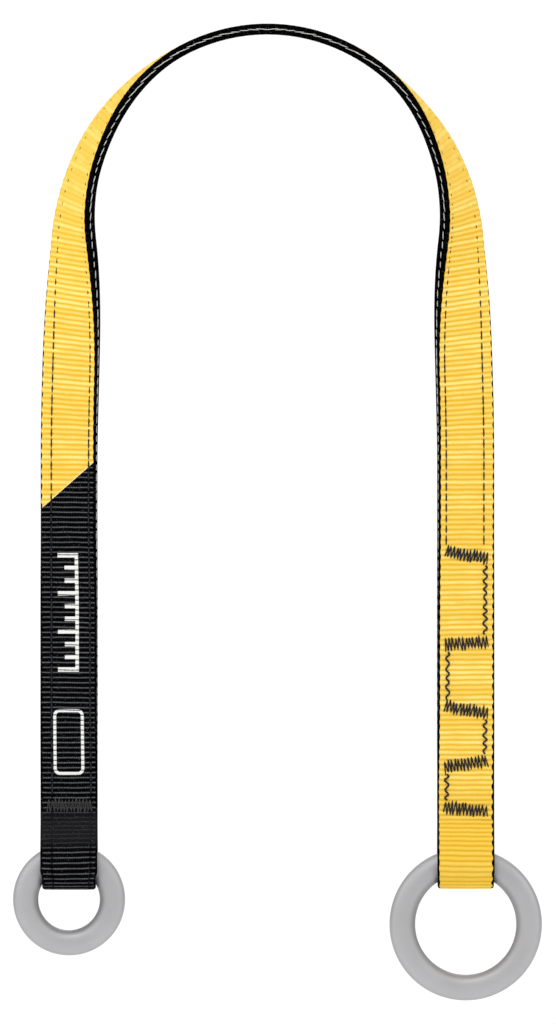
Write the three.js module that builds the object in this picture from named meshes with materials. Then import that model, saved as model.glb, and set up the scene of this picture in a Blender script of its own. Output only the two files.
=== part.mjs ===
// A ring-to-ring friction saver for tree climbing: a doubled, edge-stitched webbing strap that goes
// over a limb, with a small aluminium ring in the eye of its left leg and a large one in its right leg.
// Millimetres, +Z up, +X to the right, -Y towards the front. The origin is the middle of the strap's
// inner face at the top of the arch, where the strap bears on the limb.
import * as THREE from 'three';

// Webbing
const strapWidth = 26;
const layerThickness = 2.35;
const layerGap = 0.5;
const edgeChamfer = 0.8;
const strapThickness = 2 * layerThickness + layerGap;
const layerOffset = (layerThickness + layerGap) / 2;

// Arch: half an ellipse, edge-on to the front, running down into two legs that turn to face the front
const archHalfWidth = 88.4;
const archHeight = 96;
const archCentreZ = strapThickness / 2 - archHeight;
const legX = 90.3;
const legDriftLength = 100;
const quarterArc = (Math.PI / 2) * Math.sqrt((archHalfWidth ** 2 + archHeight ** 2) / 2);
const twistStart = { left: 38, right: 58 };
const twistEnd = 246;
const archSteps = 64;
const archDivisions = 4;

// The legs hang from a flexing line, where a short gap between the solids stands for the bend
const flexZ = -221;
const flexGap = 2;

// Rings: round bar bent to a circle
const rings = {
  left: { name: 'small_ring', centreZ: -393.7, boreRadius: 14, barRadius: 5.75 },
  right: { name: 'large_ring', centreZ: -405, boreRadius: 23, barRadius: 5.85 },
};
const ringSegments = 48;
const barSegments = 16;

// Eyes: the webbing goes round the ring's bar and comes up again behind. turnAbove is how far the
// middle of the turn, which is the line the ring swings about, lies above the ring's centre.
const eyes = {
  left: { name: 'small_ring_eye', topZ: -357.5, turnAbove: 16, innerRadius: 9.1, turnWidth: 24 },
  right: { name: 'large_ring_eye', topZ: -357.5, turnAbove: 27, innerRadius: 8.4, turnWidth: 26 },
};
const eyeSteps = 36;
const eyeUpperPull = 5;
const eyeLowerPull = 11;
const narrowFrom = 0.26;
const narrowTo = 0.64;

// Thread
const stitchRowOffset = 8.4;
const stitchWidth = 0.9;
const stitchThickness = 0.3;
const edgeThreadRadius = 0.3;
const edgeThreadInset = 0.15;
const surfaceGap = 0.3;
const tackThickness = 0.5;
const tackWidth = 20;
const tackHeight = 4.5;
const tackStrokes = 14;
const tackThread = 0.6;
const rightTacks = [
  { z: -236.9, tilt: -0.18 },
  { z: -277.0, tilt: 0.09 },
  { z: -307.3, tilt: -0.16 },
  { z: -332.1, tilt: 0.16 },
  { z: -352.6, tilt: -0.1 },
];
const leftTackZ = -351;
const linkWidth = 1.6;
const linkPitch = 3.6;
const linkThread = 0.5;
const linkOffset = 8.6;
const linkClearance = 5.2;
const rightRowEndZ = -231;
const leftRowEndZ = -345;

// Plain printed marks on the left leg
const printThickness = 0.25;
const scalePrint = { topZ: -236, length: 54, spine: 1.6, rungLength: 8, rungHeight: 2, rungs: 10 };
const labelPrint = { centreZ: -322, width: 14, height: 30, corner: 3, line: 1.4 };

const front = new THREE.Vector3(0, -1, 0);
const back = new THREE.Vector3(0, 1, 0);
const satinAluminium = 0xc4c4c6;

const finishes = {
  yellow: new THREE.MeshStandardMaterial({ color: 0xf0cc4a, roughness: 0.75, metalness: 0 }),
  black: new THREE.MeshStandardMaterial({ color: 0x24262a, roughness: 0.7, metalness: 0 }),
  blackThread: new THREE.MeshStandardMaterial({ color: 0x17181a, roughness: 0.6, metalness: 0 }),
  paleThread: new THREE.MeshStandardMaterial({ color: 0xd9d6cc, roughness: 0.7, metalness: 0 }),
  print: new THREE.MeshStandardMaterial({ color: 0xf2f2f2, roughness: 0.5, metalness: 0 }),
  aluminium: new THREE.MeshStandardMaterial({ color: satinAluminium, roughness: 0.45, metalness: 0.9 }),
};

const part = new THREE.Group();

function addPiece(name, geometry, material) {
  const mesh = new THREE.Mesh(geometry, material);
  mesh.name = name;
  part.add(mesh);
  return mesh;
}

function smoothStep(t) {
  const c = Math.min(Math.max(t, 0), 1);
  return c * c * (3 - 2 * c);
}

// The strap's middle line, by distance s along it from the top of the arch, positive to the right
function strapCentre(s) {
  const side = Math.sign(s) || 1;
  const distance = Math.abs(s);
  if (distance <= quarterArc) {
    const angle = (distance / quarterArc) * (Math.PI / 2);
    const x = side * archHalfWidth * Math.sin(angle);
    return new THREE.Vector3(x, 0, archCentreZ + archHeight * Math.cos(angle));
  }
  const drop = distance - quarterArc;
  const drift = (legX - archHalfWidth) * smoothStep(drop / legDriftLength);
  return new THREE.Vector3(side * (archHalfWidth + drift), 0, archCentreZ - drop);
}

// How far the strap has turned about its middle line: 0 edge-on at the top, a quarter turn at the legs
function strapTwist(s) {
  const start = s < 0 ? twistStart.left : twistStart.right;
  return (Math.PI / 2) * smoothStep((Math.abs(s) - start) / (twistEnd - start));
}

// A point at s, with across measured from the near edge to the far edge and out towards the outer face
function strapPoint(s, across, out) {
  const tangent = strapCentre(s + 0.5).sub(strapCentre(s - 0.5)).normalize();
  const radial = tangent.clone().cross(back);
  const twist = strapTwist(s);
  const acrossDirection = back.clone().multiplyScalar(Math.cos(twist));
  acrossDirection.addScaledVector(radial, Math.sin(twist));
  const outDirection = radial.clone().multiplyScalar(Math.cos(twist));
  outDirection.addScaledVector(front, Math.sin(twist));
  const point = strapCentre(s);
  point.addScaledVector(acrossDirection, across);
  return point.addScaledVector(outDirection, out);
}

// Bends a straight extrusion of a section, whose x is across and y is out, to wherever place puts it
function sweep(section, steps, place) {
  const geometry = new THREE.ExtrudeGeometry(section, { depth: 1, steps, bevelEnabled: false });
  const position = geometry.getAttribute('position');
  for (let i = 0; i < position.count; i += 1) {
    const point = place(position.getX(i), position.getY(i), position.getZ(i));
    position.setXYZ(i, point.x, point.y, point.z);
  }
  geometry.computeVertexNormals();
  return geometry;
}

// A layer's section, centred at an offset out. Its long edges are cut back, and its faces are divided
// across, so that the facets of two layers keep their gap where the strap twists.
function layerSection(out, divisions = 1) {
  const w = strapWidth / 2;
  const t = layerThickness / 2;
  const flat = w - edgeChamfer;
  const half = [new THREE.Vector2(-w, -t + edgeChamfer)];
  for (let i = 0; i <= divisions; i += 1) {
    half.push(new THREE.Vector2(flat * ((2 * i) / divisions - 1), -t));
  }
  half.push(new THREE.Vector2(w, -t + edgeChamfer));
  const opposite = half.map((point) => point.clone().negate());
  const offset = new THREE.Vector2(0, out);
  return new THREE.Shape([...half, ...opposite].map((point) => point.add(offset)));
}

function barSection(width, thickness, across, out) {
  const w = width / 2;
  const t = thickness / 2;
  const outline = [[-w, -t], [w, -t], [w, t], [-w, t]];
  return new THREE.Shape(outline.map(([x, y]) => new THREE.Vector2(x + across, y + out)));
}

function threadSection(across) {
  const shape = new THREE.Shape();
  shape.absarc(across, 0, edgeThreadRadius, 0, 2 * Math.PI);
  const points = shape.getSpacedPoints(6);
  points.pop();
  return new THREE.Shape(points);
}

const stitchOut = strapThickness / 2 + surfaceGap + stitchThickness / 2;
const edgeThreadAcross = strapWidth / 2 - edgeThreadInset;
const strapSections = {
  outer_webbing: layerSection(layerOffset, archDivisions),
  inner_webbing: layerSection(-layerOffset, archDivisions),
  near_edge_thread: threadSection(-edgeThreadAcross),
  far_edge_thread: threadSection(edgeThreadAcross),
  near_stitch_row: barSection(stitchWidth, stitchThickness, -stitchRowOffset, stitchOut),
  far_stitch_row: barSection(stitchWidth, stitchThickness, stitchRowOffset, stitchOut),
};

function strapFinish(piece, webbing) {
  if (piece.endsWith('webbing')) return webbing;
  return piece.endsWith('edge_thread') ? finishes.paleThread : finishes.blackThread;
}

function addArch() {
  const reach = quarterArc + archCentreZ - (flexZ + flexGap / 2);
  for (const [piece, section] of Object.entries(strapSections)) {
    const place = (across, out, u) => strapPoint((2 * u - 1) * reach, across, out);
    addPiece(`arch_${piece}`, sweep(section, archSteps, place), strapFinish(piece, finishes.yellow));
  }
}

// One leg: straight, facing the front, from the flexing line down to its eye
function addLeg(side, webbing, rowEndZ) {
  const sign = side === 'left' ? -1 : 1;
  const topZ = flexZ - flexGap / 2;
  for (const [piece, section] of Object.entries(strapSections)) {
    const endZ = piece.endsWith('stitch_row') ? rowEndZ : eyes[side].topZ + layerGap / 2;
    const place = (across, out, u) => {
      const along = side === 'left' ? 1 - u : u;
      return new THREE.Vector3(sign * (legX + across), -out, topZ + (endZ - topZ) * along);
    };
    addPiece(`${side}_leg_${piece}`, sweep(section, 1, place), strapFinish(piece, webbing));
  }
}

// The eye's middle line in the Y-Z plane: down the front, round under the bar and up the back
function eyePath(side) {
  const { topZ, turnAbove, innerRadius } = eyes[side];
  const turnZ = rings[side].centreZ + turnAbove;
  const radius = innerRadius + layerThickness / 2;
  const startZ = topZ - layerGap / 2;
  const upper = startZ - eyeUpperPull;
  const lower = turnZ + eyeLowerPull;
  const path = new THREE.Path();
  path.moveTo(-layerOffset, startZ);
  path.bezierCurveTo(-layerOffset, upper, -radius, lower, -radius, turnZ);
  path.absarc(0, turnZ, radius, Math.PI, 2 * Math.PI, false);
  path.bezierCurveTo(radius, lower, layerOffset, upper, layerOffset, startZ);
  return { path, turnZ, radius };
}

function addEye(side, webbing) {
  const { path, turnZ, radius } = eyePath(side);
  const narrowest = eyes[side].turnWidth / strapWidth;
  const centreX = side === 'left' ? -legX : legX;
  const place = (across, out, u) => {
    const point = path.getPointAt(u);
    const tangent = path.getTangentAt(u);
    const depth = (turnZ - point.y) / radius;
    const narrowing = smoothStep((depth - narrowFrom) / (narrowTo - narrowFrom));
    const width = 1 - (1 - narrowest) * narrowing;
    return new THREE.Vector3(
      centreX + across * width,
      point.x + tangent.y * out,
      point.y - tangent.x * out,
    );
  };
  addPiece(eyes[side].name, sweep(layerSection(0), eyeSteps, place), webbing);
}

function addRing(side) {
  const { name, centreZ, boreRadius, barRadius } = rings[side];
  const profile = [];
  for (let i = 0; i <= barSegments; i += 1) {
    const angle = (i / barSegments) * 2 * Math.PI;
    const radius = boreRadius + barRadius - barRadius * Math.cos(angle);
    profile.push(new THREE.Vector2(radius, -barRadius * Math.sin(angle)));
  }
  profile[barSegments].copy(profile[0]);
  const ring = addPiece(name, new THREE.LatheGeometry(profile, ringSegments), finishes.aluminium);
  ring.position.set(side === 'left' ? -legX : legX, 0, centreZ);
}

// A zigzag of thread as one flat outline, running along x, with the given number of strokes
function zigzagShape(length, height, strokes, thread) {
  const pitch = length / strokes;
  const slope = Math.atan2(height, pitch);
  const half = thread / 2 / Math.cos(slope);
  const upper = [];
  const lower = [];
  for (let i = 0; i <= strokes; i += 1) {
    const x = -length / 2 + i * pitch;
    const y = i % 2 ? height / 2 : -height / 2;
    lower.push(new THREE.Vector2(x, y - half));
    upper.push(new THREE.Vector2(x, y + half));
  }
  return new THREE.Shape([...lower, ...upper.reverse()]);
}

// Lays a flat shape on the front face of a leg, turned by tilt in its own plane
function addFacePiece(name, shape, thickness, x, z, tilt, material) {
  const geometry = new THREE.ExtrudeGeometry(shape, { depth: thickness, bevelEnabled: false });
  const piece = addPiece(name, geometry, material);
  piece.rotation.set(Math.PI / 2, 0, tilt);
  piece.position.set(x, -strapThickness / 2 - surfaceGap, z);
  return piece;
}

function addTacks() {
  const tackShape = zigzagShape(tackWidth, tackHeight, tackStrokes, tackThread);
  rightTacks.forEach(({ z, tilt }, i) => {
    const name = `right_bar_tack_${i + 1}`;
    addFacePiece(name, tackShape, tackThickness, legX, z, tilt, finishes.blackThread);
  });
  addFacePiece('left_bar_tack', tackShape, tackThickness, -legX, leftTackZ, 0, finishes.blackThread);
}

// Thin zigzags run from each bar tack to the next, by turns along the outer and the inner row
function addLinks() {
  for (let i = 0; i + 1 < rightTacks.length; i += 1) {
    const outward = i % 2 === 0 ? 1 : -1;
    const topZ = rightTacks[i].z + outward * linkOffset * Math.tan(rightTacks[i].tilt);
    const lowZ = rightTacks[i + 1].z + outward * linkOffset * Math.tan(rightTacks[i + 1].tilt);
    const length = topZ - lowZ - 2 * linkClearance;
    const strokes = 2 * Math.round(length / linkPitch);
    const shape = zigzagShape(length, linkWidth, strokes, linkThread);
    const x = legX + outward * linkOffset;
    const z = (topZ + lowZ) / 2;
    const name = `right_link_zigzag_${i + 1}`;
    addFacePiece(name, shape, tackThickness, x, z, Math.PI / 2, finishes.blackThread);
  }
}

// A comb of plain rungs on one spine, with nothing to read on it
function scaleShape() {
  const { length, spine, rungLength, rungHeight, rungs } = scalePrint;
  const pitch = (length - rungHeight) / (rungs - 1);
  const points = [new THREE.Vector2(0, 0)];
  for (let i = 0; i < rungs; i += 1) {
    const y = -i * pitch;
    const reach = spine + (i % 3 ? rungLength * 0.6 : rungLength);
    points.push(new THREE.Vector2(reach, y), new THREE.Vector2(reach, y - rungHeight));
    const last = i === rungs - 1;
    points.push(new THREE.Vector2(last ? 0 : spine, y - rungHeight));
    if (!last) points.push(new THREE.Vector2(spine, y - pitch));
  }
  return new THREE.Shape(points.reverse());
}

function roundedRectangle(width, height, corner, path) {
  const w = width / 2 - corner;
  const h = height / 2 - corner;
  path.absarc(w, h, corner, 0, Math.PI / 2, false);
  path.absarc(-w, h, corner, Math.PI / 2, Math.PI, false);
  path.absarc(-w, -h, corner, Math.PI, 1.5 * Math.PI, false);
  path.absarc(w, -h, corner, 1.5 * Math.PI, 2 * Math.PI, false);
  return path;
}

function addPrint() {
  const scaleX = -legX - (scalePrint.spine + scalePrint.rungLength) / 2;
  const scale = scaleShape();
  addFacePiece('left_scale_print', scale, printThickness, scaleX, scalePrint.topZ, 0, finishes.print);
  const { centreZ, width, height, corner, line } = labelPrint;
  const frame = roundedRectangle(width, height, corner, new THREE.Shape());
  const inner = roundedRectangle(width - 2 * line, height - 2 * line, corner - line, new THREE.Path());
  frame.holes.push(inner);
  addFacePiece('left_label_print', frame, printThickness, -legX, centreZ, 0, finishes.print);
}

addArch();
addLeg('left', finishes.black, leftRowEndZ);
addLeg('right', finishes.yellow, rightRowEndZ);
addEye('left', finishes.black);
addEye('right', finishes.yellow);
addRing('left');
addRing('right');
addTacks();
addLinks();
addPrint();

export default part;
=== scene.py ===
# A ring-to-ring friction saver for tree climbing: a doubled webbing strap in an arch, with a small
# aluminium ring in its left eye and a large one in its right. Metres, +Z up, seen from -Y.
import math
import bpy
import bmesh
import numpy as np
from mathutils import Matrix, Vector


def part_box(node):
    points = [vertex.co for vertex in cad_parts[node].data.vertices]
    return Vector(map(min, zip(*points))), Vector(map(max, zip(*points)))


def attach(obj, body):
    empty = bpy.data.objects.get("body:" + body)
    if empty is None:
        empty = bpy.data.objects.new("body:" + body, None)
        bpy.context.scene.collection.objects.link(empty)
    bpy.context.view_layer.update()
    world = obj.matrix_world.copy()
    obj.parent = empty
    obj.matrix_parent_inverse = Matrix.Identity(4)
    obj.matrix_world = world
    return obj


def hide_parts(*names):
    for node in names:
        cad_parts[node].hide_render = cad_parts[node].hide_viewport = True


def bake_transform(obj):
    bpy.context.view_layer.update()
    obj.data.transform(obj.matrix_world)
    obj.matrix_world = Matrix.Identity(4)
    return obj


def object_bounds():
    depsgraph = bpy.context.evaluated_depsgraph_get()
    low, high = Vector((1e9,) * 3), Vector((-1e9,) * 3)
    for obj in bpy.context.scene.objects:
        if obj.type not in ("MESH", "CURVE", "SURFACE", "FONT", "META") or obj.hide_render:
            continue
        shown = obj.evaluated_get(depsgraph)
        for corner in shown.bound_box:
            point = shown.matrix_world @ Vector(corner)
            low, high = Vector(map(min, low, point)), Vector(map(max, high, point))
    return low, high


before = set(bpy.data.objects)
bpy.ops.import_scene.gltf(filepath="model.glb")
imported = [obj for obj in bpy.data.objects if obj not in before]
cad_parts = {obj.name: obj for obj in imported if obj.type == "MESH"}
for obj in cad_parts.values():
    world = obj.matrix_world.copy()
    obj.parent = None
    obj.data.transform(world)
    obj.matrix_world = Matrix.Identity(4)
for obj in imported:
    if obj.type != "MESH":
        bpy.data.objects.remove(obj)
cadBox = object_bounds()
mm = 0.001
sides = {"left": -1, "right": 1}


def nodeBox(name):
    low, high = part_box(name)
    return np.array(low), np.array(high)


def nodeMiddle(name):
    low, high = nodeBox(name)
    return (low + high) / 2


legX = nodeMiddle("right_leg_outer_webbing")[0]
eyeTop = {side: nodeBox(f"{side}_leg_outer_webbing")[0][2] for side in sides}
flexZ = (nodeBox("left_leg_outer_webbing")[1][2] + nodeBox("arch_outer_webbing")[0][2]) / 2

# the strap, in millimetres: change these with the CAD model
strap = dict(width=26, layer=2.35, gap=0.5, archHalfWidth=88.4, archHeight=96, driftLength=100,
             crownTurn=1.74, turnStart={"left": 40, "right": 60}, shoulderTurn=26, shoulderTo=130,
             legFrom=110, legTo=208, faceTurn={"left": 74, "right": 77},
             lowerTurn=82, lowerFrom=275, lowerTo=320, squareFrom=352, squareTo=400)
strapThickness = 2 * strap["layer"] + strap["gap"]
layerOffset = (strap["layer"] + strap["gap"]) / 2
archCentreZ = strapThickness / 2 - strap["archHeight"]
quarterArc = math.pi / 2 * math.hypot(strap["archHalfWidth"], strap["archHeight"]) / math.sqrt(2)
stepAhead = 0.5  # mm along the strap, between two points that show which way it runs


def smoothStep(t):
    t = np.clip(t, 0, 1)
    return t * t * (3 - 2 * t)


def between(value, low, high):
    return smoothStep((value - low) / (high - low))


# How far along the strap from the top of the arch a height z, in mm, is on the straight of a leg
def stationOf(z):
    return quarterArc + archCentreZ - z


# The strap's middle line in mm, at distances s from the top of the arch along one side
def strapCentre(s, side):
    sign = sides[side]
    angle = np.clip(s / quarterArc, 0, 1) * math.pi / 2
    drop = np.maximum(s - quarterArc, 0)
    drift = (legX / mm - strap["archHalfWidth"]) * smoothStep(drop / strap["driftLength"])
    x = sign * (strap["archHalfWidth"] * np.sin(angle) + drift)
    z = archCentreZ + strap["archHeight"] * np.cos(angle) - drop
    return np.stack([x, np.zeros_like(x), z], -1)


# How far the strap has turned to face the front, in radians
def strapTurn(s, side):
    shoulder, face, lower = strap["shoulderTurn"], strap["faceTurn"][side], strap["lowerTurn"]
    turn = strap["crownTurn"] + shoulder * between(s, strap["turnStart"][side], strap["shoulderTo"])
    turn += (face - shoulder) * between(s, strap["legFrom"], strap["legTo"])
    turn += (lower - face) * between(s, strap["lowerFrom"], strap["lowerTo"])
    turn += (90 - lower) * between(s, strap["squareFrom"], strap["squareTo"])
    return np.radians(turn)


# Unit vectors across the strap, near edge to far edge, and out of its outer face
def strapFrame(s, side):
    ahead = strapCentre(s + stepAhead, side)
    behind = strapCentre(np.abs(s - stepAhead), side)
    behind[..., 0] *= np.sign(s - stepAhead)
    tangent = (ahead - behind) * sides[side]
    tangent /= np.linalg.norm(tangent, axis=-1, keepdims=True)
    radial = np.cross(tangent, [0, 1, 0])
    turn = strapTurn(s, side)[..., None]
    across = np.array([0, 1, 0]) * np.cos(turn) + radial * np.sin(turn)
    out = radial * np.cos(turn) + np.array([0, -1, 0]) * np.sin(turn)
    return across, out


def strapPoints(s, side, across, out):
    s = np.asarray(s, float)
    acrossWay, outWay = strapFrame(s, side)
    point = strapCentre(s, side)
    return point + acrossWay * np.asarray(across)[..., None] + outWay * np.asarray(out)[..., None]


class Wire:
    def __init__(self, socket):
        self.socket = socket

    def math(self, operation, *values):
        tree = self.socket.id_data
        return addNode(tree, "ShaderNodeMath", {"operation": operation}, dict(enumerate(values)))

    def __add__(self, other):
        return self.math("ADD", self, other)

    def __radd__(self, other):
        return self.math("ADD", other, self)

    def __sub__(self, other):
        return self.math("SUBTRACT", self, other)

    def __rsub__(self, other):
        return self.math("SUBTRACT", other, self)

    def __mul__(self, other):
        return self.math("MULTIPLY", self, other)

    def __rmul__(self, other):
        return self.math("MULTIPLY", other, self)

    def __truediv__(self, other):
        return self.math("DIVIDE", self, other)

    def __rtruediv__(self, other):
        return self.math("DIVIDE", other, self)

    def __pow__(self, other):
        return self.math("POWER", self, other)

    def __gt__(self, other):
        return self.math("GREATER_THAN", self, other)

    def __lt__(self, other):
        return self.math("LESS_THAN", self, other)

    def __abs__(self):
        return self.math("ABSOLUTE", self)

    def cos(self):
        return self.math("COSINE", self)

    def fract(self):
        return self.math("FRACT", self)

    def floor(self):
        return self.math("FLOOR", self)

    def most(self, other):
        return self.math("MAXIMUM", self, other)

    def least(self, other):
        return self.math("MINIMUM", self, other)


# One node: its settings first, then its sockets by name or number; gives back one of its outputs
def addNode(tree, kind, settings, inputs, output=0):
    node = tree.nodes.new(kind)
    for name, value in settings.items():
        setattr(node, name, value)
    for key, value in inputs.items():
        if isinstance(value, Wire):
            tree.links.new(value.socket, node.inputs[key])
        else:
            node.inputs[key].default_value = value
    return Wire(node.outputs[output])


def ease(wire, low, high):
    settings = {"interpolation_type": "SMOOTHSTEP"}
    ends = {"Value": wire, "From Min": low, "From Max": high}
    return addNode(wire.socket.id_data, "ShaderNodeMapRange", settings, ends)


def mixColour(tree, factor, first, second):
    return addNode(tree, "ShaderNodeMix", {"data_type": "RGBA"}, {0: factor, 6: first, 7: second}, 2)


def noise(tree, vector, scale, detail=2.0):
    inputs = {"Vector": vector, "Scale": scale, "Detail": detail}
    return addNode(tree, "ShaderNodeTexNoise", {}, inputs, "Fac")


def newMaterial(name, **fixed):
    material = bpy.data.materials.new(name)
    material.use_nodes = True
    shader = material.node_tree.nodes["Principled BSDF"]
    for socket, value in fixed.items():
        shader.inputs[socket.replace("_", " ")].default_value = value
    return material, material.node_tree, shader


def connect(tree, wire, shader, socket):
    tree.links.new(wire.socket, shader.inputs[socket])


def objectPlace(tree):
    return addNode(tree, "ShaderNodeTexCoord", {}, {}, "Object")


def bump(tree, height, strength, distance):
    inputs = {"Height": height, "Strength": strength, "Distance": distance}
    return addNode(tree, "ShaderNodeBump", {}, inputs)


# The cloth, in mm. A pair gives the two stations, or places across, between which something comes
# or goes.
cloth = dict(ribPitch=2.28, ribHeight=0.3, rowsPerRib=6, edgeColumns=5, faceColumns=10, edgePlain=1.6,
             selvedgeNear=0.85, selvedgeFar=0.35, insideShade=4, selvedgeCrown=1.6,
             scallopNear=0.25, scallopFar=0.65, yarnPitch=0.8, rowDepth=0.12, rowHalf=0.7,
             crownFade=(60, 105), widens=(200, 330), wider=0.3,
             flatSink=0.6, drawnIn=0.33, drawnFade=(80, 130), lowLeg=(375, 420))
# how the ribs wander: skew in mm along for each mm across, bow and ripple in ribs, tilt in ribs for
# each mm across, and nothing but skew in the last few ribs at either end
wander = dict(skew=0.14, skewStarts=(50, 140), skewEnds=(150, 275), bow=0.05, ripple=0.025,
              tilt=0.004, calmEnds=12)
flare = dict(height=0.9, starts=(115, 160), ends=(212, 250), pastStitches=(9.5, 13))
sheenBand = dict(starts=(402, 410), ends=(419, 426), strength=0.045)
samples = dict(strap=2600, eyeSide=160, eyeTurn=240)  # how many points each stretch is worked out at
rowAcross = {"left": {"near": -9.9, "far": 7.7}, "right": {"near": -9.6, "far": 7.9}}
# stretches where the ribs are pulled or pressed flat: from, to, how softly, and how much is left
flatter = {"left": [(-200, 135, 22, 0.22), (-200, 62, 15, 0.3), (405, 424, 3, 0.1)],
           "right": [(-200, 128, 22, 0.22), (-200, 62, 15, 0.3), (432, 441, 4, 0.45)]}
# the black end of the left leg starts on a slant, near edge higher than far edge
blackEnd = dict(middle=stationOf(-205.2), slope=0.85)
scalePrint = dict(top=stationOf(-236), length=54, spine=1.6, rungLength=8, rungHeight=2.0, rungs=10,
                  longEvery=3, shortBy=0.4)
labelPrint = dict(centre=stationOf(-322), width=14, height=30, corner=3, line=1.4)
tackZ = {"left": [-351], "right": [-236.9, -277.0, -307.3, -332.1, -352.6]}
tack = dict(width=20, height=6.6, press=0.28, uneven=(0.76, 1.12), wander=0.25, bury=0.3, dive=0.5)

eyes = {"left": dict(ring="small_ring", turnAbove=16, innerRadius=9.1, turnWidth=24.4),
        "right": dict(ring="large_ring", turnAbove=27, innerRadius=8.4, turnWidth=25.6)}
# the pulls are in mm, and the narrowing is between two depths, as shares of the turn's radius
eyeShape = dict(upperPull=5, lowerPull=11, narrowFrom=0.26, narrowTo=0.64)


def bezier(p0, p1, p2, p3, count):
    t = np.linspace(0, 1, count)[:, None]
    return p0 * (1 - t) ** 3 + 3 * p1 * t * (1 - t) ** 2 + 3 * p2 * t * t * (1 - t) + p3 * t ** 3


# The eye's middle line in the Y-Z plane, mm: down the front, round under the bar, up the back
def eyeLine(side):
    eye = eyes[side]
    turnZ = nodeMiddle(eye["ring"])[2] / mm + eye["turnAbove"]
    radius = eye["innerRadius"] + strap["layer"] / 2
    top = eyeTop[side] / mm
    upper, lower = top - eyeShape["upperPull"], turnZ + eyeShape["lowerPull"]
    down = bezier(*(np.array(p) for p in ((-layerOffset, top), (-layerOffset, upper),
                                          (-radius, lower), (-radius, turnZ))), samples["eyeSide"])
    angle = np.linspace(math.pi, 2 * math.pi, samples["eyeTurn"])[1:-1]
    turn = np.stack([radius * np.cos(angle), turnZ + radius * np.sin(angle)], -1)
    up = down[::-1] * [-1, 1]
    return np.concatenate([down, turn, up]), turnZ, radius


# One half of the webbing's loop: down the outer layer, round the eye and up the inner layer.
# Gives, for each row, its middle, its unit vectors, its station along the strap and its width.
def halfLoop(side):
    last = stationOf(eyeTop[side] / mm)
    s = np.linspace(0, last, samples["strap"])
    across, out = strapFrame(s, side)
    centre = strapCentre(s, side)
    line, turnZ, radius = eyeLine(side)
    tangent = np.gradient(line, axis=0)
    tangent /= np.linalg.norm(tangent, axis=1, keepdims=True)
    count = len(line)
    x = np.full(count, sides[side] * legX / mm)
    zero = np.zeros(count)
    eyeMiddle = np.stack([x, line[:, 0], line[:, 1]], -1)
    eyeAcross = np.stack([zero + sides[side], zero, zero], -1)
    eyeOut = np.stack([zero, tangent[:, 1], -tangent[:, 0]], -1)
    depth = (turnZ - line[:, 1]) / radius
    narrow = (depth - eyeShape["narrowFrom"]) / (eyeShape["narrowTo"] - eyeShape["narrowFrom"])
    eyeWidth = 1 - (1 - eyes[side]["turnWidth"] / strap["width"]) * smoothStep(narrow)
    middle = np.concatenate([centre + out * layerOffset, eyeMiddle[1:-1],
                             (centre - out * layerOffset)[::-1]])
    acrossWay = np.concatenate([across, eyeAcross[1:-1], across[::-1]])
    outWay = np.concatenate([out, eyeOut[1:-1], -out[::-1]])
    eyeAlong = np.cumsum(np.linalg.norm(np.diff(line, axis=0), axis=1))[:-1]
    eyeStation = last + np.minimum(eyeAlong, eyeAlong[::-1])
    station = np.concatenate([s, eyeStation, s[::-1]])
    width = np.concatenate([np.ones_like(s), eyeWidth[1:-1], np.ones_like(s)])
    along = np.concatenate([[0], np.cumsum(np.linalg.norm(np.diff(middle, axis=0), axis=1))])
    ribs = round(along[-1] / cloth["ribPitch"])
    even = np.linspace(0, along[-1], ribs * cloth["rowsPerRib"] + 1)

    def pick(values):
        return np.stack([np.interp(even, along, v) for v in values.T], -1)

    rows = dict(middle=pick(middle), across=pick(acrossWay), out=pick(outWay))
    rows["station"] = np.interp(even, along, station)
    rows["width"] = np.interp(even, along, width)
    rows["rib"] = even / along[-1] * ribs
    rows["front"] = (even < along[-1] / 2).astype(float)
    return rows


# The layer's section: points across and out, with the direction that each one bulges in
def layerOutline():
    half, thick = strap["width"] / 2, strap["layer"] / 2
    flat = np.linspace(-(half - thick), half - thick, cloth["faceColumns"])
    round_ = np.linspace(-math.pi / 2, math.pi / 2, cloth["edgeColumns"] + 2)[1:-1]
    points = [(a, thick, 0, 1) for a in flat]
    points += [(half - thick + thick * math.cos(t), thick * math.sin(t), math.cos(t), math.sin(t))
               for t in round_[::-1]]
    points += [(a, -thick, 0, -1) for a in flat[::-1]]
    points += [(-half + thick - thick * math.cos(t), thick * math.sin(t), -math.cos(t), math.sin(t))
               for t in round_]
    return np.array(points)


# How deep the stitch rows and bar tacks pull the face in, mm
def pressAt(rows, across, side):
    offRow = np.minimum(*(np.abs(across - row) for row in rowAcross[side].values()))
    press = cloth["rowDepth"] * np.exp(-(offRow / cloth["rowHalf"]) ** 2)
    for z in tackZ[side]:
        near = np.exp(-((rows["station"][:, None] - stationOf(z)) / (tack["height"] / 2)) ** 4)
        inside = smoothStep((tack["width"] / 2 + 1 - np.abs(across)) / 2)
        press = np.maximum(press, tack["press"] * near * inside)
    return press


# Ribs don't run quite square across: the turn in the strap slants them, and they bow a little
def ribWander(rows, across):
    rib, station = rows["rib"][:, None], rows["station"][:, None]
    layer = np.where(rows["front"][:, None] > 0.5, 1, -1)
    slanted = between(station, *wander["skewStarts"]) * (1 - between(station, *wander["skewEnds"]))
    skew = wander["skew"] * slanted
    bow = wander["bow"] * np.cos(across * 0.16 + rib * 0.13) * np.sin(rib * 0.19)
    ripple = (wander["ripple"] * np.sin(across * 0.55 + rib * 0.83)
              + wander["tilt"] * across * np.sin(rib * 0.06))
    ends = between(np.minimum(rib, rib.max() - rib), 0, wander["calmEnds"])
    return layer * skew * across / cloth["ribPitch"] + ends * (bow + ripple)


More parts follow.
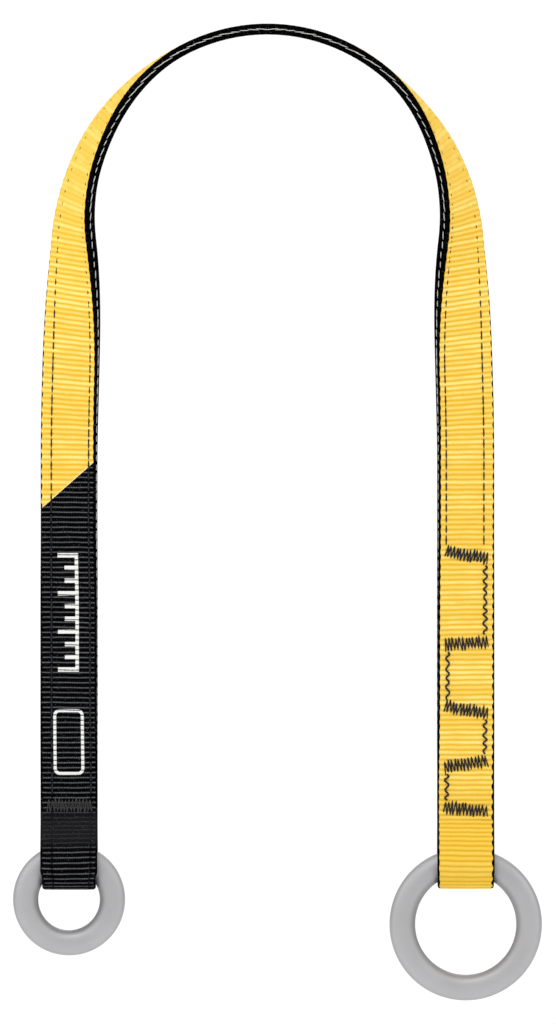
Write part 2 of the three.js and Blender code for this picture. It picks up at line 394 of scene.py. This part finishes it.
# Past its stitches the near edge of each layer stands away from the other one while the strap turns
def flareAt(rows, across):
    station = rows["station"][:, None]
    turning = between(station, *flare["starts"]) * (1 - between(station, *flare["ends"]))
    return flare["height"] * turning * between(-across, *flare["pastStitches"])


# How much of the ribs' height and shade is left at each station
def reliefAt(rows, side):
    station = rows["station"]
    relief = np.ones_like(station)
    for low, high, soft, left in flatter[side]:
        inside = between(station, low - soft, low + soft) * (1 - between(station, high - soft, high + soft))
        relief *= 1 - (1 - left) * inside
    return relief


def buildWebbing(side):
    rows = halfLoop(side)
    outline = layerOutline()
    count, columns = len(rows["middle"]), len(outline)
    a, o, pushA, pushO = outline.T
    grid = np.ones((count, columns))
    wide = a[None, :] * rows["width"][:, None]
    point = (rows["middle"][:, None] + rows["across"][:, None] * wide[..., None]
             + rows["out"][:, None] * o[None, :, None])
    point += rows["out"][:, None] * flareAt(rows, grid * a)[..., None]
    # over the crown each layer's inner face is drawn in towards the other layer
    drawn = cloth["drawnIn"] * (1 - between(rows["station"], *cloth["drawnFade"]))
    inward = drawn[:, None] * np.maximum(-pushO, 0)
    point -= rows["out"][:, None] * inward[..., None]
    push = rows["across"][:, None] * pushA[None, :, None] + rows["out"][:, None] * pushO[None, :, None]
    press = pressAt(rows, wide, side)
    faces = []
    for i in range(count - 1):
        for j in range(columns):
            k = (j + 1) % columns
            row, following = i * columns, (i + 1) * columns
            faces.append((row + j, row + k, following + k, following + j))
    faces.append(tuple(range(columns))[::-1])
    faces.append(tuple(range((count - 1) * columns, count * columns)))
    mesh = bpy.data.meshes.new(f"{side}_webbing")
    mesh.from_pydata((point.reshape(-1, 3) * mm).tolist(), [], faces)
    rib = rows["rib"][:, None] + ribWander(rows, grid * a)
    weave = np.stack([grid * a, rib, grid * rows["station"][:, None]], -1)
    addAttribute(mesh, "weave", weave)
    addAttribute(mesh, "inside", grid * between(-o, -0.2, 0.2))
    addAttribute(mesh, "relief", grid * reliefAt(rows, side)[:, None])
    addAttribute(mesh, "push", push)
    addAttribute(mesh, "press", press)
    addAttribute(mesh, "front", grid * rows["front"][:, None])
    return finishMesh(mesh, f"{side}_webbing")


def addAttribute(mesh, name, values):
    vector = values.shape[-1] == 3
    kind, field = ("FLOAT_VECTOR", "vector") if vector else ("FLOAT", "value")
    attribute = mesh.attributes.new(name, kind, "POINT")
    attribute.data.foreach_set(field, values.astype(np.float32).ravel())


def newPiece(name, data):
    piece = bpy.data.objects.new(name, data)
    bpy.context.scene.collection.objects.link(piece)
    return piece


def finishMesh(mesh, name):
    work = bmesh.new()
    work.from_mesh(mesh)
    bmesh.ops.recalc_face_normals(work, faces=work.faces)
    work.to_mesh(mesh)
    work.free()
    mesh.shade_smooth()
    return newPiece(name, mesh)


def newTree(name, sizes):
    tree = bpy.data.node_groups.new(name, "GeometryNodeTree")
    tree.interface.new_socket("Geometry", in_out="INPUT", socket_type="NodeSocketGeometry")
    for label, value in sizes.items():
        kind = "NodeSocketInt" if label == "seed" else "NodeSocketFloat"
        tree.interface.new_socket(label, in_out="INPUT", socket_type=kind).default_value = value
    tree.interface.new_socket("Geometry", in_out="OUTPUT", socket_type="NodeSocketGeometry")
    entry = tree.nodes.new("NodeGroupInput")
    return tree, {socket.name: Wire(socket) for socket in entry.outputs if socket.name}


def closeTree(tree, geometry, material):
    real = addNode(tree, "GeometryNodeRealizeInstances", {}, {0: geometry})
    dressed = addNode(tree, "GeometryNodeSetMaterial", {}, {"Geometry": real, "Material": material})
    end = tree.nodes.new("NodeGroupOutput")
    tree.links.new(dressed.socket, end.inputs[0])


# Runs a tree on a piece and keeps the result as a plain mesh
def grow(piece, tree, **sizes):
    modifier = piece.modifiers.new(tree.name, "NODES")
    modifier.node_group = tree
    for item in tree.interface.items_tree:
        if item.item_type == "SOCKET" and item.in_out == "INPUT" and item.name in sizes:
            modifier[item.identifier] = sizes[item.name]
    grown = piece.evaluated_get(bpy.context.evaluated_depsgraph_get())
    mesh = bpy.data.meshes.new_from_object(grown)
    mesh.name = piece.name
    name = piece.name
    bpy.data.objects.remove(piece)
    mesh.shade_smooth()
    return newPiece(name, mesh)


def namedField(tree, name, kind="FLOAT"):
    return addNode(tree, "GeometryNodeInputNamedAttribute", {"data_type": kind}, {"Name": name})


# Ribs: rounded ridges across the webbing with narrow valleys, each a little different from the next
def ribTree(material):
    tree, entry = newTree("ribs", dict(ribHeight=cloth["ribHeight"], unevenness=0.18, seed=4))
    weave = namedField(tree, "weave", "FLOAT_VECTOR")
    parts = tree.nodes.new("ShaderNodeSeparateXYZ")
    tree.links.new(weave.socket, parts.inputs[0])
    across, rib = Wire(parts.outputs[0]), Wire(parts.outputs[1])
    wave = 0.5 * (rib * (2 * math.pi)).cos()
    chance = addNode(tree, "FunctionNodeRandomValue", {"data_type": "FLOAT"},
                     {2: -1.0, 3: 1.0, "ID": (rib + 0.5).floor(), "Seed": entry["seed"]}, 1)
    spot = addNode(tree, "ShaderNodeCombineXYZ", {}, {0: across * 0.12, 1: rib * 0.35})
    sway = noise(tree, spot, 1.0)
    relief = namedField(tree, "relief")
    uneven = 1 + chance * entry["unevenness"] + (sway - 0.5) * 0.5
    sunk = (1 - relief) ** 2 * cloth["flatSink"]
    height = wave * relief * uneven - sunk
    plainFrom = strap["width"] / 2 - cloth["edgePlain"]
    onFace = 1 - ease(abs(across), plainFrom, plainFrom + 1)
    raised = height * entry["ribHeight"] * onFace - namedField(tree, "press")
    lift = addNode(tree, "ShaderNodeVectorMath", {"operation": "SCALE"},
                   {0: namedField(tree, "push", "FLOAT_VECTOR"), "Scale": raised * mm})
    moved = addNode(tree, "GeometryNodeSetPosition", {}, {"Geometry": entry["Geometry"], "Offset": lift})
    closeTree(tree, moved, material)
    return tree


def inRange(value, low, high):
    return (value > low) * (value < high)


# Plain white marks on the black end: a comb of rungs and an empty rounded frame
def printMask(across, station, front):
    comb = scalePrint
    pitch = (comb["length"] - comb["rungHeight"]) / (comb["rungs"] - 1)
    width = comb["spine"] + comb["rungLength"]
    left = across + width / 2
    down = station - comb["top"]
    cell = (down / pitch).fract() * pitch
    index = (down / pitch).floor()
    short = ((index / comb["longEvery"]).fract() > 0.1) * comb["shortBy"]
    reach = comb["spine"] + comb["rungLength"] * (1 - short)
    rung = (cell < comb["rungHeight"]) * inRange(left, 0, reach)
    spine = inRange(left, 0, comb["spine"])
    combMark = rung.most(spine) * inRange(down, 0, comb["length"])
    label = labelPrint
    alongX = (abs(across) - (label["width"] / 2 - label["corner"])).most(0)
    alongZ = (abs(station - label["centre"]) - (label["height"] / 2 - label["corner"])).most(0)
    reachOut = (alongX * alongX + alongZ * alongZ) ** 0.5 - label["corner"]
    sideX = abs(across) - label["width"] / 2
    sideZ = abs(station - label["centre"]) - label["height"] / 2
    edge = reachOut.most(sideX.most(sideZ))
    frameMark = inRange(edge, -label["line"], 0)
    return combMark.most(frameMark) * (front > 0.5)


# Linear colours: the yellow from painted shade in a rib's valley to painted highlight on its ridge, a
# painted highlight brighter still, darker streaks, the darker yellow low on the leg (painted shade), the
# black, the painted highlight on black ribs, a pale line and the marks
dyeAndPaintedLight = dict(valley=(0.79, 0.46, 0.03, 1), ridge=(0.95, 0.655, 0.135, 1), bright=(1.0, 0.79, 0.24, 1),
           streak=(0.78, 0.45, 0.03, 1), low=(0.84, 0.53, 0.045, 1), lowValley=(0.6, 0.32, 0.015, 1),
           black=(0.0006, 0.0006, 0.0009, 1), blackLit=(0.2, 0.205, 0.215, 1),
           cut=(1.0, 0.88, 0.55, 1), mark=(0.82, 0.82, 0.8, 1))


# Yellow cloth with black selvedges that widen at every second rib, and the left leg's black end, with
# painted shade and painted highlight on the ribs
def webbingMaterial(side):
    material, tree, shader = newMaterial(f"{side}_webbing", Specular_IOR_Level=0.012)

    def attribute(name, output="Fac"):
        return addNode(tree, "ShaderNodeAttribute", {"attribute_name": name}, {}, output)

    def alongCloth(acrossScale, ribScale, scale, detail):
        vector = addNode(tree, "ShaderNodeCombineXYZ", {}, {0: across * acrossScale, 1: rib * ribScale})
        return noise(tree, vector, scale, detail)

    parts = tree.nodes.new("ShaderNodeSeparateXYZ")
    tree.links.new(attribute("weave", "Vector").socket, parts.inputs[0])
    across, rib, station = (Wire(socket) for socket in parts.outputs)
    relief = attribute("relief")
    wave = 0.5 + 0.5 * (rib * (2 * math.pi)).cos()
    # each rib's colour runs from painted shade in its valley to painted highlight on its ridge, flattened
    # where the relief is low
    ribShade = 0.5 + (wave - 0.5) * relief
    slow = alongCloth(0.11, 0.5, 1.0, 3.0)
    streak = alongCloth(3.2, 0.9, 1.0, 2.0)
    ribCell = addNode(tree, "ShaderNodeTexWhiteNoise", {"noise_dimensions": "1D"},
                      {"W": (rib + 0.5).floor()}, "Value")
    yarn = 0.5 + 0.5 * (across * (2 * math.pi / cloth["yarnPitch"]) + streak * 4).cos()

    yellow = mixColour(tree, ribShade, dyeAndPaintedLight["valley"], dyeAndPaintedLight["ridge"])
    # painted highlight: patches of the ridges lightened towards the bright colour
    lit = ease(slow * 0.7 + ribCell * 0.4, 0.35, 0.85) * ribShade
    yellow = mixColour(tree, lit, yellow, dyeAndPaintedLight["bright"])
    yellow = mixColour(tree, ease(streak, 0.5, 0.8) * 0.25, yellow, dyeAndPaintedLight["streak"])
    # painted shade: the yellow darkens low on the leg, where the strap curves under towards the eye, and
    # most in the rib valleys
    footShade = ease(station, *cloth["lowLeg"])
    yellow = mixColour(tree, footShade * 0.65, yellow, dyeAndPaintedLight["low"])
    yellow = mixColour(tree, (1 - wave) ** 3 * footShade * 0.6, yellow, dyeAndPaintedLight["lowValley"])

    halfWidth = strap["width"] / 2
    scallop = 0.5 + 0.5 * (rib * math.pi + slow).cos()
    nearBand = scallop * cloth["scallopNear"] + cloth["selvedgeNear"]
    nearBand = nearBand + (1 - ease(station, *cloth["crownFade"])) * cloth["selvedgeCrown"]
    # on each layer's inner face the black band reaches further in: painted shade in the gap between the
    # layers
    nearBand = nearBand + attribute("inside") * cloth["insideShade"]
    widening = ease(station, *cloth["widens"]) * cloth["wider"]
    farBand = scallop * cloth["scallopFar"] + cloth["selvedgeFar"] + widening
    selvedge = (across < nearBand - halfWidth).most(across > halfWidth - farBand)
    offRow = abs(across - rowAcross[side]["near"]).least(abs(across - rowAcross[side]["far"]))
    onFace = (1 - selvedge) * (0.25 + 0.75 * ease(offRow, 0.3, 0.9))
    # painted highlight: a thin lighter line along the crest of each black rib, broken up by the yarns, and
    # scattered light spots of painted glint; the sheen below is painted too
    yarnGlints = 0.3 + 0.7 * yarn * ease(streak, 0.25, 0.6)
    line = wave ** 9 * yarnGlints * onFace * (0.1 + 0.9 * relief) * (0.5 + 0.9 * slow)
    glintSpots = ease(alongCloth(2.4, 2.6, 1.0, 1.0), 0.66, 0.74) * 0.35
    sheenEnds = 1 - ease(station, *sheenBand["ends"])
    sheen = ease(station, *sheenBand["starts"]) * sheenEnds * sheenBand["strength"]
    black = mixColour(tree, line.most(glintSpots) + sheen, dyeAndPaintedLight["black"], dyeAndPaintedLight["blackLit"])

    inked = selvedge
    if side == "left":
        past = station - (blackEnd["middle"] + blackEnd["slope"] * across + (streak - 0.5) * 0.5)
        cutLine = inRange(past, -0.55, 0) * (1 - selvedge) * 0.55
        yellow = mixColour(tree, cutLine, yellow, dyeAndPaintedLight["cut"])
        inked = selvedge.most(past > 0)
    colour = mixColour(tree, inked, yellow, black)
    roughness = 0.66 + 0.18 * streak - 0.12 * ribShade
    if side == "left":
        printed = printMask(across, station, attribute("front")) * ease(wave + streak * 0.3, 0.1, 0.4)
        colour = mixColour(tree, printed, colour, dyeAndPaintedLight["mark"])
        roughness = roughness - printed * 0.15
    connect(tree, colour, shader, "Base Color")
    connect(tree, roughness, shader, "Roughness")
    connect(tree, bump(tree, yarn * 0.5 + streak * 1.2, 0.35, 0.0001), shader, "Normal")
    return material


thread = dict(pitch=4.9, length=4.7, width=0.75, rise=0.5, surface=0.12,
              edgePitch=4.4, edgeLength=3.9, edgeWidth=0.45, edgeOut={"left": 12.86, "right": 12.7},
              tackRadius=0.29, strokes=13, linkRadius=0.43, linkPitch=4.1, linkWidth=1.6, linkAcross=8.6,
              linkUneven=(0.75, 1.2), linkDive=0.35, strokeSteps=6, waveSteps=14,
              wander=0.25, buried=(105, 205), stretched=(30, 110))
tackTilt = {"left": [0], "right": [-0.18, 0.09, -0.16, 0.16, -0.1]}
rowEnd = {"left": stationOf(-345), "right": stationOf(-231.5)}
rng = np.random.default_rng(12)  # the sewing's unevenness, drawn in the order in which it is sewn


def threadMaterial(name, dark, light, roughness):
    material, tree, shader = newMaterial(name, Specular_IOR_Level=0.3)
    place = objectPlace(tree)
    twist = noise(tree, place, 2600.0, 2.0)
    patch = noise(tree, place, 90.0, 2.0)
    connect(tree, mixColour(tree, twist * 0.6 + patch * 0.4, dark, light), shader, "Base Color")
    connect(tree, roughness + (twist - 0.5) * 0.3, shader, "Roughness")
    connect(tree, bump(tree, twist, 0.5, 0.0002), shader, "Normal")
    return material


# One stitch at each point, lying along its "run", standing out along its "rise", and of the full
# length, width and height times its "share"
def stitchTree(material):
    sizes = dict(length=thread["length"] * mm, width=thread["width"] * mm, height=thread["rise"] * mm)
    tree, entry = newTree("stitches", dict(sizes, variation=0.2, seed=7))
    bead = addNode(tree, "GeometryNodeMeshUVSphere", {}, {"Segments": 8, "Rings": 7, "Radius": 0.5})
    chance = addNode(tree, "FunctionNodeRandomValue", {"data_type": "FLOAT"},
                     {2: 1 - entry["variation"], 3: 1 + entry["variation"], "Seed": entry["seed"]}, 1)
    full = addNode(tree, "ShaderNodeCombineXYZ", {},
                   {0: entry["length"] * chance, 1: entry["width"], 2: entry["height"]})
    size = addNode(tree, "ShaderNodeVectorMath", {"operation": "MULTIPLY"},
                   {0: full, 1: namedField(tree, "share", "FLOAT_VECTOR")})
    turn = addNode(tree, "FunctionNodeAxesToRotation", {"primary_axis": "X", "secondary_axis": "Z"},
                   {"Primary Axis": namedField(tree, "run", "FLOAT_VECTOR"),
                    "Secondary Axis": namedField(tree, "rise", "FLOAT_VECTOR")})
    sewn = addNode(tree, "GeometryNodeInstanceOnPoints", {},
                   {"Points": entry["Geometry"], "Instance": bead, "Rotation": turn, "Scale": size})
    closeTree(tree, sewn, material)
    return tree


# A round thread along each line of the piece
def threadTree(material):
    tree, entry = newTree("thread", dict(radius=thread["tackRadius"] * mm, fuzz=0.08 * mm, seed=3))
    line = addNode(tree, "GeometryNodeMeshToCurve", {}, {"Mesh": entry["Geometry"]})
    ring = addNode(tree, "GeometryNodeCurvePrimitiveCircle", {"mode": "RADIUS"},
                   {"Resolution": 8, "Radius": entry["radius"]}, "Curve")
    tube = addNode(tree, "GeometryNodeCurveToMesh", {},
                   {"Curve": line, "Profile Curve": ring, "Fill Caps": True})
    place = addNode(tree, "GeometryNodeInputPosition", {}, {})
    grain = addNode(tree, "ShaderNodeTexNoise", {"noise_dimensions": "4D"},
                    {"Vector": place, "W": entry["seed"] * 1.7, "Scale": 1400.0, "Detail": 1.0}, "Fac")
    normal = addNode(tree, "GeometryNodeInputNormal", {}, {})
    shift = addNode(tree, "ShaderNodeVectorMath", {"operation": "SCALE"},
                    {0: normal, "Scale": (grain - 0.5) * entry["fuzz"] * 2})
    rough = addNode(tree, "GeometryNodeSetPosition", {}, {"Geometry": tube, "Offset": shift})
    closeTree(tree, rough, material)
    return tree


def linePiece(name, lines):
    points, edges = [], []
    for line in lines:
        first = len(points)
        points += (line * mm).tolist()
        edges += [(first + i, first + i + 1) for i in range(len(line) - 1)]
    mesh = bpy.data.meshes.new(name)
    mesh.from_pydata(points, edges, [])
    return newPiece(name, mesh)


# The height above the strap's middle line at which a thread lies on its face
def faceHeight(radius):
    return strapThickness / 2 + radius * 0.6


# Both faces' stitches in one row: where each is, a point ahead of it, the way it stands out and its
# share of the full size. They bury themselves where the arch stretches the face.
def faceStitches(side, across):
    s = np.arange(thread["pitch"] / 2, rowEnd[side], thread["pitch"])
    s = s + rng.uniform(-thread["wander"], thread["wander"], len(s))
    proud = 0.12 + 0.88 * between(s, *thread["buried"])
    height = strapThickness / 2 + thread["surface"] * (2 * proud - 1)
    out = strapFrame(s, side)[1]
    share = np.stack([0.2 + 0.8 * proud, np.ones_like(s), proud], -1)
    return [(strapPoints(s, side, across, face * height),
             strapPoints(s + stepAhead, side, across, face * height),
             out * face, share) for face in (1, -1)]


# The pale stitches in one edge, in the groove between the two layers, pulled long and thin over the
# crown, shorter and fatter down the sides
def edgeStitches(side, sign):
    s = np.arange(thread["edgePitch"] / 2, stationOf(eyeTop[side] / mm) - 3, thread["edgePitch"])
    across = sign * thread["edgeOut"][side]
    sideways = 0.1 * np.sin(s * 2.1) + 0.1 * np.sin(s * 0.7)
    loose = between(s, *thread["stretched"])
    share = np.stack([1.6 - 0.6 * loose, 0.85 + 0.15 * loose, np.ones_like(s)], -1)
    return [(strapPoints(s, side, across, sideways),
             strapPoints(s + stepAhead, side, across, sideways + 0.06),
             strapFrame(s, side)[0] * sign, share)]


def stitchPiece(name, rows):
    here, ahead, rise, share = (np.concatenate(part) for part in zip(*rows))
    mesh = bpy.data.meshes.new(name)
    mesh.from_pydata((here * mm).tolist(), [], [])
    addAttribute(mesh, "run", ahead - here)
    addAttribute(mesh, "rise", rise)
    addAttribute(mesh, "share", share)
    return newPiece(name, mesh)


# One bar tack's zigzag on both faces, wide strokes that dive into the cloth at each turn
def tackLines(side, z, tilt):
    lines = []
    count = thread["strokes"] * 2
    for face in (1, -1):
        x = np.linspace(-tack["width"] / 2, tack["width"] / 2, count + 1)
        y = np.where(np.arange(count + 1) % 2, 0.5, -0.5) * tack["height"]
        y = y * rng.uniform(*tack["uneven"], count + 1)
        x = x + rng.uniform(-tack["wander"], tack["wander"], count + 1)
        fine = np.linspace(0, count, count * thread["strokeSteps"] + 1)
        px, py = np.interp(fine, np.arange(count + 1), x), np.interp(fine, np.arange(count + 1), y)
        dive = np.abs(np.abs(fine % 1 - 0.5) * 2) ** 4
        height = faceHeight(thread["tackRadius"]) - tack["press"] * tack["bury"] - dive * tack["dive"]
        turnedX = px * math.cos(tilt) - py * math.sin(tilt)
        turnedY = px * math.sin(tilt) + py * math.cos(tilt)
        sign = sides[side]
        lines.append(strapPoints(stationOf(z + turnedY), side, sign * turnedX, face * height))
    return lines


# The zigzag on both faces from one of the right leg's bar tacks to the next, alternately near one
# edge and the other
def linkLines(i):
    outward = 1 if i % 2 == 0 else -1
    reach = thread["linkAcross"] * outward
    top = tackZ["right"][i] + reach * math.tan(tackTilt["right"][i]) - tack["height"] / 2
    low = tackZ["right"][i + 1] + reach * math.tan(tackTilt["right"][i + 1]) + tack["height"] / 2
    waves = max(2, round((top - low) / thread["linkPitch"]))
    t = np.linspace(0, waves, waves * thread["waveSteps"] + 1)
    swing = np.interp(t, np.arange(waves + 1), rng.uniform(*thread["linkUneven"], waves + 1))
    bend = np.sin(2 * math.pi * t + 0.5 * np.sin(t * 2.3))
    across = reach + thread["linkWidth"] / 2 * bend * swing
    height = faceHeight(thread["linkRadius"]) - thread["linkDive"] * bend ** 8
    z = top + (low - top) * t / waves
    return [strapPoints(stationOf(z), "right", across, face * height) for face in (1, -1)]


# the radius in mm of each ring's bore and of its bar
ringShape = {"left": dict(name="small_ring", bore=14.0, bar=5.75),
             "right": dict(name="large_ring", bore=23.0, bar=5.85)}
ringDetail = dict(turns=168, around=44, squareness=2.25)


# A ring whose bar is very slightly squared. "inward" is 1 at the bore and -1 at the outer rim.
def buildRing(side):
    shape = ringShape[side]
    middle = nodeMiddle(shape["name"])
    turns, around = ringDetail["turns"], ringDetail["around"]
    t = np.arange(around) / around * 2 * math.pi
    power = 2 / ringDetail["squareness"]
    px = np.sign(np.cos(t)) * np.abs(np.cos(t)) ** power * shape["bar"]
    py = np.sign(np.sin(t)) * np.abs(np.sin(t)) ** power * shape["bar"]
    turn = np.arange(turns) / turns * 2 * math.pi
    radius = shape["bore"] + shape["bar"] + px
    x = np.cos(turn)[:, None] * radius[None]
    z = np.sin(turn)[:, None] * radius[None]
    y = np.ones(turns)[:, None] * py[None]
    points = np.stack([x, y, z], -1).reshape(-1, 3) * mm + middle
    faces = []
    for i in range(turns):
        for j in range(around):
            k, n = (j + 1) % around, (i + 1) % turns
            faces.append((i * around + j, i * around + k, n * around + k, n * around + j))
    mesh = bpy.data.meshes.new(f"{shape['name']}_metal")
    mesh.from_pydata(points.tolist(), [], faces)
    addAttribute(mesh, "inward", np.tile((-px / shape["bar"])[None], (turns, 1)))
    return finishMesh(mesh, f"{shape['name']}_metal")


# The ring's colours: two metal tones that vary at random, and a dark one for painted shade at the rims
alloyAndRimShade = dict(dark=(0.41, 0.405, 0.415, 1), light=(0.5, 0.495, 0.505, 1), rim=(0.2, 0.2, 0.205, 1))


def aluminium():
    material, tree, shader = newMaterial("satin_aluminium", Metallic=0.6, Specular_IOR_Level=0.3)
    place = objectPlace(tree)
    broad = noise(tree, place, 55.0, 3.0)
    fine = noise(tree, place, 1500.0, 2.0)
    inward = addNode(tree, "ShaderNodeAttribute", {"attribute_name": "inward"}, {}, "Fac")
    colour = mixColour(tree, broad, alloyAndRimShade["dark"], alloyAndRimShade["light"])
    # painted shade: darker towards the bore and, less, towards the outer rim
    rim = ease(inward, 0.45, 1.0) * 0.65 + ease(0 - inward, 0.7, 1.0) * 0.3
    colour = mixColour(tree, rim, colour, alloyAndRimShade["rim"])
    scratch = addNode(tree, "ShaderNodeTexVoronoi", {"feature": "DISTANCE_TO_EDGE"},
                      {"Vector": place, "Scale": 260.0}, "Distance")
    connect(tree, colour, shader, "Base Color")
    connect(tree, 0.52 + 0.16 * broad + (fine - 0.5) * 0.14, shader, "Roughness")
    height = fine * 0.4 + ease(scratch, 0.0, 0.03) * 0.15
    connect(tree, bump(tree, height, 0.12, 0.0002), shader, "Normal")
    return material


flexReach = 0.022  # a thread that reaches higher than this below a leg's hinge stays with the strap


def bendsWithLeg(piece):
    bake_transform(piece)


# Threads that reach within flexReach of the hinge stay in place with the cloth that they are sewn to; the
# others go with the leg's body
def sewnToLeg(piece, side):
    highest = max(vertex.co.z for vertex in piece.data.vertices)
    if highest > flexZ - flexReach:
        bendsWithLeg(piece)
    else:
        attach(piece, f"{side}_leg")


darkThread = threadMaterial("dark_thread", (0.003, 0.003, 0.006, 1), (0.014, 0.015, 0.024, 1), 0.55)
paleThread = threadMaterial("pale_thread", (0.28, 0.275, 0.26, 1), (0.88, 0.87, 0.84, 1), 0.6)
# the black thread's lighter colour, spread by noise, is partly twist tone and partly painted glint
blackThread = threadMaterial("black_thread", (0.002, 0.002, 0.002, 1), (0.06, 0.06, 0.063, 1), 0.5)
sewing = stitchTree(darkThread)

for side in sides:
    webbing = grow(buildWebbing(side), ribTree(webbingMaterial(side)), ribHeight=cloth["ribHeight"])
    print(f"{side} webbing: {len(webbing.data.polygons)} faces")
    arch = "arch_outer_webbing" if side == "left" else "arch_inner_webbing"
    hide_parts(arch, f"{side}_leg_outer_webbing", f"{side}_leg_inner_webbing",
                f"{eyes[side]['ring']}_eye")
    bendsWithLeg(webbing)

    for edge, sign in (("near", -1), ("far", 1)):
        row = stitchPiece(f"{side}_{edge}_stitches", faceStitches(side, rowAcross[side][edge]))
        row = grow(row, sewing, length=thread["length"] * mm, width=thread["width"] * mm,
                   height=thread["rise"] * mm)
        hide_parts(f"{side}_leg_{edge}_stitch_row")
        bendsWithLeg(row)
        binding = stitchPiece(f"{side}_{edge}_edge_stitches", edgeStitches(side, sign))
        binding = grow(binding, stitchTree(paleThread), length=thread["edgeLength"] * mm,
                       width=thread["edgeWidth"] * mm, height=thread["edgeWidth"] * mm, variation=0.3)
        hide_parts(f"{side}_leg_{edge}_edge_thread")
        bendsWithLeg(binding)
        if side == "left":
            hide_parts(f"arch_{edge}_stitch_row")
            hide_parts(f"arch_{edge}_edge_thread")
    print(f"{side} threads sewn")

    for i, (z, tilt) in enumerate(zip(tackZ[side], tackTilt[side])):
        node = f"right_bar_tack_{i + 1}" if side == "right" else "left_bar_tack"
        sewn = linePiece(f"{node}_thread", tackLines(side, z, tilt))
        dyed = darkThread if side == "right" else blackThread
        sewn = grow(sewn, threadTree(dyed), radius=thread["tackRadius"] * mm)
        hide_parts(node)
        sewnToLeg(sewn, side)
    metal = buildRing(side)
    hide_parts(ringShape[side]["name"])
    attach(metal, f"{ringShape[side]['name']}_body")

for i in range(len(tackZ["right"]) - 1):
    sewn = linePiece(f"right_link_{i + 1}_thread", linkLines(i))
    sewn = grow(sewn, threadTree(darkThread), radius=thread["linkRadius"] * mm)
    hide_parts(f"right_link_zigzag_{i + 1}")
    sewnToLeg(sewn, "right")
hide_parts("left_scale_print", "left_label_print")
satin = aluminium()
for side in sides:
    bpy.data.objects[f"{ringShape[side]['name']}_metal"].data.materials.append(satin)
print("rings and bar tacks placed")

view = dict(distance=7.0, height=0.4663, middle=(0.00483, -0.2173), sensor=36)
camera = newPiece("camera", bpy.data.cameras.new("camera"))
camera.location = (view["middle"][0], -view["distance"], view["middle"][1])
camera.rotation_euler = (math.pi / 2, 0, 0)
camera.data.sensor_width = view["sensor"]
camera.data.lens = view["sensor"] * view["distance"] / view["height"]
camera.data.clip_end = 20
bpy.context.scene.camera = camera


# A round lamp: where it is, what it points at, how wide it is in metres and its power in watts
def addLight(name, place, target, size, power):
    lamp = bpy.data.lights.new(name, "AREA")
    lamp.shape = "DISK"
    lamp.size = size
    lamp.energy = power
    light = newPiece(name, lamp)
    light.location = place
    light.rotation_euler = (Vector(target) - Vector(place)).to_track_quat("-Z", "Y").to_euler()
    light.visible_camera = False


addLight("key", (-0.3, -1.1, 1.3), (0, 0, -0.2), 0.7, 13.5)
addLight("left_side", (-1.5, -0.3, 0.5), (0, 0, -0.1), 0.9, 6)
addLight("right_side", (1.5, -0.3, 0.5), (0, 0, -0.1), 0.9, 6)
addLight("back", (0.2, 1.4, 0.7), (0, 0, -0.2), 1.0, 6)

backdrop = dict(light=0.62, glow=0.43)  # how bright the surroundings are, and how much more when seen
world = bpy.data.worlds.new("studio")
bpy.context.scene.world = world
world.use_nodes = True
sky = world.node_tree
paper = sky.nodes["Background"]
paper.inputs["Color"].default_value = (1, 1, 1, 1)
seen = addNode(sky, "ShaderNodeLightPath", {}, {}, "Is Camera Ray")
connect(sky, backdrop["light"] + seen * backdrop["glow"], paper, "Strength")
bpy.context.scene.view_settings.view_transform = "Standard"

floorMesh = bpy.data.meshes.new("floor")
floorDrop, floorReach = 0.115, 2.4
floorZ = cadBox[0][2] - floorDrop
corners = [(-1, -1), (1, -1), (1, 1), (-1, 1)]
floorMesh.from_pydata([(x * floorReach, y * floorReach, floorZ) for x, y in corners], [], [(0, 1, 2, 3)])
floor = newPiece("floor", floorMesh)
plain, *_ = newMaterial("floor", Base_Color=(0.85, 0.85, 0.85, 1), Roughness=0.8,
                        Emission_Color=(1, 1, 1, 1), Emission_Strength=0.25)
floorMesh.materials.append(plain)
